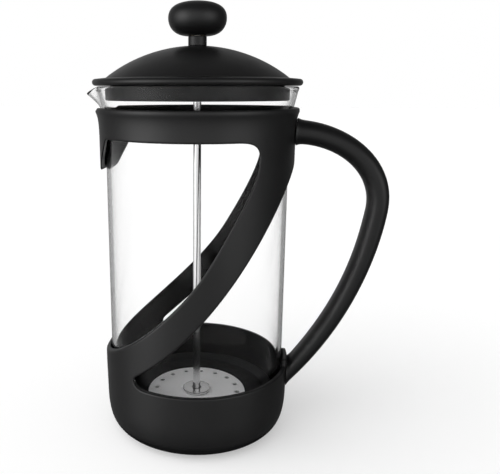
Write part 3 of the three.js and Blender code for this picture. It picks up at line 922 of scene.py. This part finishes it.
def make_lid():
    slot = "lid_plastic"
    piece("lid_dome", "lid", ["lid_cover"], slot, LID_PLASTIC, *turned(cover_outline(), 256))
    piece("lid_plug", "lid", ["lid_insert"], slot, PLUG_PLASTIC, *turned(insert_outline(), 224))
    piece("lid_neck", "lid", ["lid_bush"], slot, LID_PLASTIC, *turned(bush_outline(), 96))
    piece("lid_hex_nut", "lid", ["lid_nut"], slot, LID_PLASTIC, *nut_mesh())


# ------------------------------------------------------------------ plunger

def knob_outline():
    low, high = bottom("knob"), top("knob")
    widest = radius("knob")
    belly = 220.9
    socket = 4.2
    deep = top("plunger_rod") + 0.6
    path = Outline(socket, low, 0.3)
    path.line(5.6, low)
    path.curve((11.5, low), (widest, 216.2), (widest, belly), steps=20)
    path.curve((widest, 226.3), (10.4, high), (0, high), steps=28)
    path.line(0, deep)
    path.line(socket, deep)
    return path.points(closed=True)


def rod_outline():
    r = radius("plunger_rod")
    low, high = bottom("plunger_rod"), top("plunger_rod")
    path = Outline(0, low).line(r, low, 0.5)
    for z in np.linspace(low + 6, high - 6, 8):
        path.line(r, z)
    return path.line(r, high, 0.5).line(0, high).points()


def washer_outline(node, bore, rounding):
    path = Outline(bore, bottom(node), rounding).line(radius(node), bottom(node), rounding)
    return path.line(radius(node), top(node), rounding).line(bore, top(node), rounding).points(closed=True)


def knurled(vertices, bore):
    """Presses fine upright grooves into the outside of a turned piece."""
    x, y, z = vertices.T
    away = np.hypot(x, y)
    grooves = 36
    depth = 0.12 * np.abs(np.sin(np.arctan2(y, x) * grooves / 2))
    plain_end = 1.2
    middle = (z > z.min() + plain_end) & (z < z.max() - plain_end) & (away > bore + 0.6)
    r = np.where(middle, away - depth, away)
    return np.stack([x / away * r, y / away * r, z], 1)


def thread_insert():
    r = radius("knob_insert")
    low, high = bottom("knob_insert"), top("knob_insert")
    path = Outline(ROD_BORE, low, 0.2).line(r, low, 0.3)
    for z in np.linspace(low + 1.1, high - 1.1, 9):
        path.line(r, z)
    path.line(r, high, 0.3).line(ROD_BORE, high, 0.2)
    vertices, faces = turned(path.points(closed=True), 144)
    return knurled(vertices, ROD_BORE), faces


def make_plunger():
    knob = turned(knob_outline(), 144)
    piece("knob_ball", "plunger", ["knob"], "lid_plastic", LID_PLASTIC, *knob)
    rod = turned(rod_outline(), 64, closed=False)
    piece("rod_polished", "plunger", ["plunger_rod"], "rod_steel", ROD_STEEL, *rod)
    washer = turned(washer_outline("rod_washer", ROD_BORE, 0.35), 96)
    piece("rod_shoulder_washer", "plunger", ["rod_washer"], "rod_steel", ROD_STEEL, *washer)
    insert = thread_insert()
    piece("knob_thread_insert", "plunger", ["knob_insert"], "insert_brass", BRASS, *insert)


# ------------------------------------------------------------------ filter

def pierced_disc(name, node, rings, edge):
    """A flat plate with a bore and rings of round holes, each (distance, hole radius, count, turn)."""
    shape = bpy.data.curves.new(name + "_outline", "CURVE")
    shape.dimensions = "2D"
    shape.fill_mode = "BOTH"
    low, high = bottom(node), top(node)
    holes = [(0.0, 0.0, radius(node), 96), (0.0, 0.0, FILTER_BORE, 32)]
    for distance, hole, count, shift in rings:
        for i in range(count):
            turn = TAU * (i + shift) / count
            holes.append((distance * math.cos(turn), distance * math.sin(turn), hole, 20))
    for x, y, r, sides in holes:
        spline = shape.splines.new("POLY")
        spline.points.add(sides - 1)
        for i, point in enumerate(spline.points):
            turn = TAU * i / sides
            point.co = (x + r * math.cos(turn), y + r * math.sin(turn), 0, 1)
        spline.use_cyclic_u = True
    shape.extrude = (high - low) / 2 - edge
    shape.bevel_depth = edge
    shape.bevel_resolution = 1
    shape.offset = -edge
    carrier = bpy.data.objects.new(name + "_outline", shape)
    bpy.context.scene.collection.objects.link(carrier)
    mesh = carrier.evaluated_get(bpy.context.evaluated_depsgraph_get()).to_mesh()
    vertices = np.array([v.co for v in mesh.vertices])
    vertices[:, 2] += (low + high) / 2
    faces = [list(p.vertices) for p in mesh.polygons]
    bpy.data.objects.remove(carrier)
    return vertices, faces


def hub_outline():
    sleeve = 4.6
    flange = 8.0
    low, high = bottom("filter_hub"), top("filter_hub")
    flange_top = low + 0.8
    path = Outline(ROD_BORE, low, 0.2).line(flange, low, 0.35).line(flange, flange_top, 0.3)
    path.line(sleeve, flange_top, 0.2).line(sleeve, high, 0.4).line(ROD_BORE, high, 0.3)
    return path.points(closed=True)


def seal_outline():
    r = radius("filter_seal")
    low, high = bottom("filter_seal"), top("filter_seal")
    plate = radius("filter_top_plate")
    inner = plate - 1.8
    path = Outline(inner, low, 0.15)
    path.line(40.5, low, 2.0)
    path.line(r, low + 2.7, 0.8)
    path.line(r, high, 0.4)
    path.line(r - 0.9, high, 0.4)
    path.line(40, low + 1.5, 2.0)
    path.line(plate + 0.4, low + 1.5, 0.3)
    path.line(plate + 0.4, low + 0.6, 0.15)
    path.line(inner, low + 0.6, 0.15)
    return path.points(closed=True)


def make_filter():
    slot = "filter_steel"
    lower, upper, mesh = "filter_cross_plate", "filter_top_plate", "filter_mesh"
    rings = [(18, 3.1, 10, 0.0), (26.5, 3.6, 14, 0.5), (35.5, 4.0, 18, 0.0)]
    disc = pierced_disc("cross", lower, rings, 0.2)
    piece("filter_lower_plate", "filter", [lower], slot, SHEET_STEEL, *disc)
    rings = [(radius(upper) - 4.5, 1.4, 16, 0.0)]
    disc = pierced_disc("upper", upper, rings, 0.15)
    piece("filter_upper_plate", "filter", [upper], slot, SHEET_STEEL, *disc)
    cloth = turned(washer_outline(mesh, FILTER_BORE, 0.2), 160)
    piece("filter_mesh_disc", "filter", [mesh], slot, MESH_STEEL, *cloth)
    piece("filter_hub_sleeve", "filter", ["filter_hub"], slot, SHEET_STEEL, *turned(hub_outline(), 96))
    lip = turned(seal_outline(), 224)
    piece("filter_lip_seal", "filter", ["filter_seal"], "seal_rubber", SILICONE, *lip)


def make_screws():
    for node in SCREWS:
        dress(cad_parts[node], "frame", [], SCREW_STEEL)


# ------------------------------------------------------------------ studio

# The camera's place from the foot of the beaker's axis, in millimetres, and its turns in degrees
CAMERA_RIGHT = 37.73
CAMERA_FRONT = 317.84
CAMERA_HEIGHT = 186.14
CAMERA_DOWN = 13.18
CAMERA_LEFT = 7.4
CAMERA_LENS = 43.19
CAMERA_SHIFT = (0.1188, -0.0155)


def make_camera():
    """In front of the press, higher than its collar, turned a little towards the spout."""
    data = bpy.data.cameras.new("camera")
    data.sensor_width = 36
    data.lens = CAMERA_LENS
    data.shift_x, data.shift_y = CAMERA_SHIFT
    data.clip_start = 0.01
    camera = bpy.data.objects.new("camera", data)
    camera.location = (AXIS_X + CAMERA_RIGHT * MM, -CAMERA_FRONT * MM, CAMERA_HEIGHT * MM)
    camera.rotation_euler = (math.radians(90 - CAMERA_DOWN), 0, math.radians(CAMERA_LEFT))
    bpy.context.scene.collection.objects.link(camera)
    bpy.context.scene.camera = camera


FLOOR_IN_REFLECTIONS = 0.35


def make_floor():
    """A wide white floor, mostly clear to whatever reflects it, as if a grey card lay round the press."""
    mesh = bpy.data.meshes.new("floor")
    size = 6.0
    corners = [(-size, -size, 0), (size, -size, 0), (size, size, 0), (-size, size, 0)]
    mesh.from_pydata(corners, [], [(0, 1, 2, 3)])
    floor = bpy.data.objects.new("floor", mesh)
    bpy.context.scene.collection.objects.link(floor)
    s = Shader("floor_white", Roughness=0.9, Specular_IOR_Level=0.0, Emission_Strength=0.4)
    s.main.inputs["Emission Color"].default_value = (1, 1, 1, 1)
    s.put(s.main.inputs["Base Color"], s.tone(s.noise(3, 3), (0.60, 0.60, 0.60), (0.61, 0.61, 0.61)))
    reflected = s.add("ShaderNodeLightPath").outputs["Glossy Depth"]
    s.put(s.main.inputs["Alpha"], s.span(reflected, 1.0, FLOOR_IN_REFLECTIONS))
    mesh.materials.append(s.material)
    floor.visible_glossy = False


class Room:
    """The light from all round: plain white to look at, and soft panels for matt and shiny things."""

    def __init__(self):
        self.world = bpy.data.worlds.new("studio")
        self.world.use_nodes = True
        self.tree = self.world.node_tree
        self.way = self.tree.nodes.new("ShaderNodeTexCoord").outputs["Generated"]
        path = self.tree.nodes.new("ShaderNodeLightPath")
        self.matt = self.maths("GREATER_THAN", path.outputs["Diffuse Depth"], 0.5)
        self.shiny = self.maths("GREATER_THAN", path.outputs["Glossy Depth"], 0.5)

    def maths(self, kind, *values):
        node = self.tree.nodes.new("ShaderNodeMath")
        node.operation = kind
        for socket, value in zip(node.inputs, values):
            if isinstance(value, bpy.types.NodeSocket):
                self.tree.links.new(value, socket)
            else:
                socket.default_value = value
        return node.outputs[0]

    def panel(self, turn, rise, width, level):
        """A soft round glow: turn degrees right of the front, rise above the floor, width across."""
        a, e = math.radians(turn), math.radians(rise)
        node = self.tree.nodes.new("ShaderNodeVectorMath")
        node.operation = "DOT_PRODUCT"
        self.tree.links.new(self.way, node.inputs[0])
        towards = (math.sin(a) * math.cos(e), -math.cos(a) * math.cos(e), math.sin(e))
        node.inputs[1].default_value = towards
        sharp = math.log(0.5) / math.log((1 + math.cos(math.radians(width / 2))) / 2)
        near = self.maths("MULTIPLY_ADD", node.outputs["Value"], 0.5, 0.5)
        return self.maths("MULTIPLY", self.maths("POWER", near, sharp), level)

    def glow(self, everywhere, panels):
        total = everywhere
        for panel in panels:
            total = self.maths("ADD", self.panel(*panel), total)
        return total

    def choose(self, switch, yes, no):
        """yes where switch is 1, no where it is 0."""
        rest = self.maths("SUBTRACT", 1.0, switch)
        return self.maths("ADD", self.maths("MULTIPLY", switch, yes), self.maths("MULTIPLY", rest, no))

    def light(self, seen, matt, shiny):
        level = self.choose(self.matt, matt, self.choose(self.shiny, shiny, seen))
        background = self.tree.nodes["Background"]
        background.inputs["Color"].default_value = (1, 1, 1, 1)
        self.tree.links.new(level, background.inputs["Strength"])
        self.world.cycles.sampling_method = "NONE"
        bpy.context.scene.world = self.world


# What matt and shiny things see: an even level, and panels as (turn, rise, width, level)
MATT_LEVEL = 0.56
SHINY_LEVEL = 0.06
MATT_PANELS = [(-62, 38, 58, 2.7)]
SHINY_PANELS = [
    (-55, 4, 42, 2.7),
    (0, 4, 50, 0.75),
    (54, 4, 40, 1.4),
    (-140, 5, 80, 0.12),
    (-165, 10, 50, 0.28),
    (165, 10, 40, 0.05),
]


def make_studio():
    make_floor()
    room = Room()
    matt = room.glow(MATT_LEVEL, MATT_PANELS)
    shiny = room.glow(SHINY_LEVEL, SHINY_PANELS)
    room.light(1.0, matt, shiny)
    bpy.context.scene.view_settings.view_transform = "Standard"


make_camera()
make_studio()
make_frame()
make_handle()
make_screws()
make_beaker()
make_lid()
make_plunger()
make_filter()
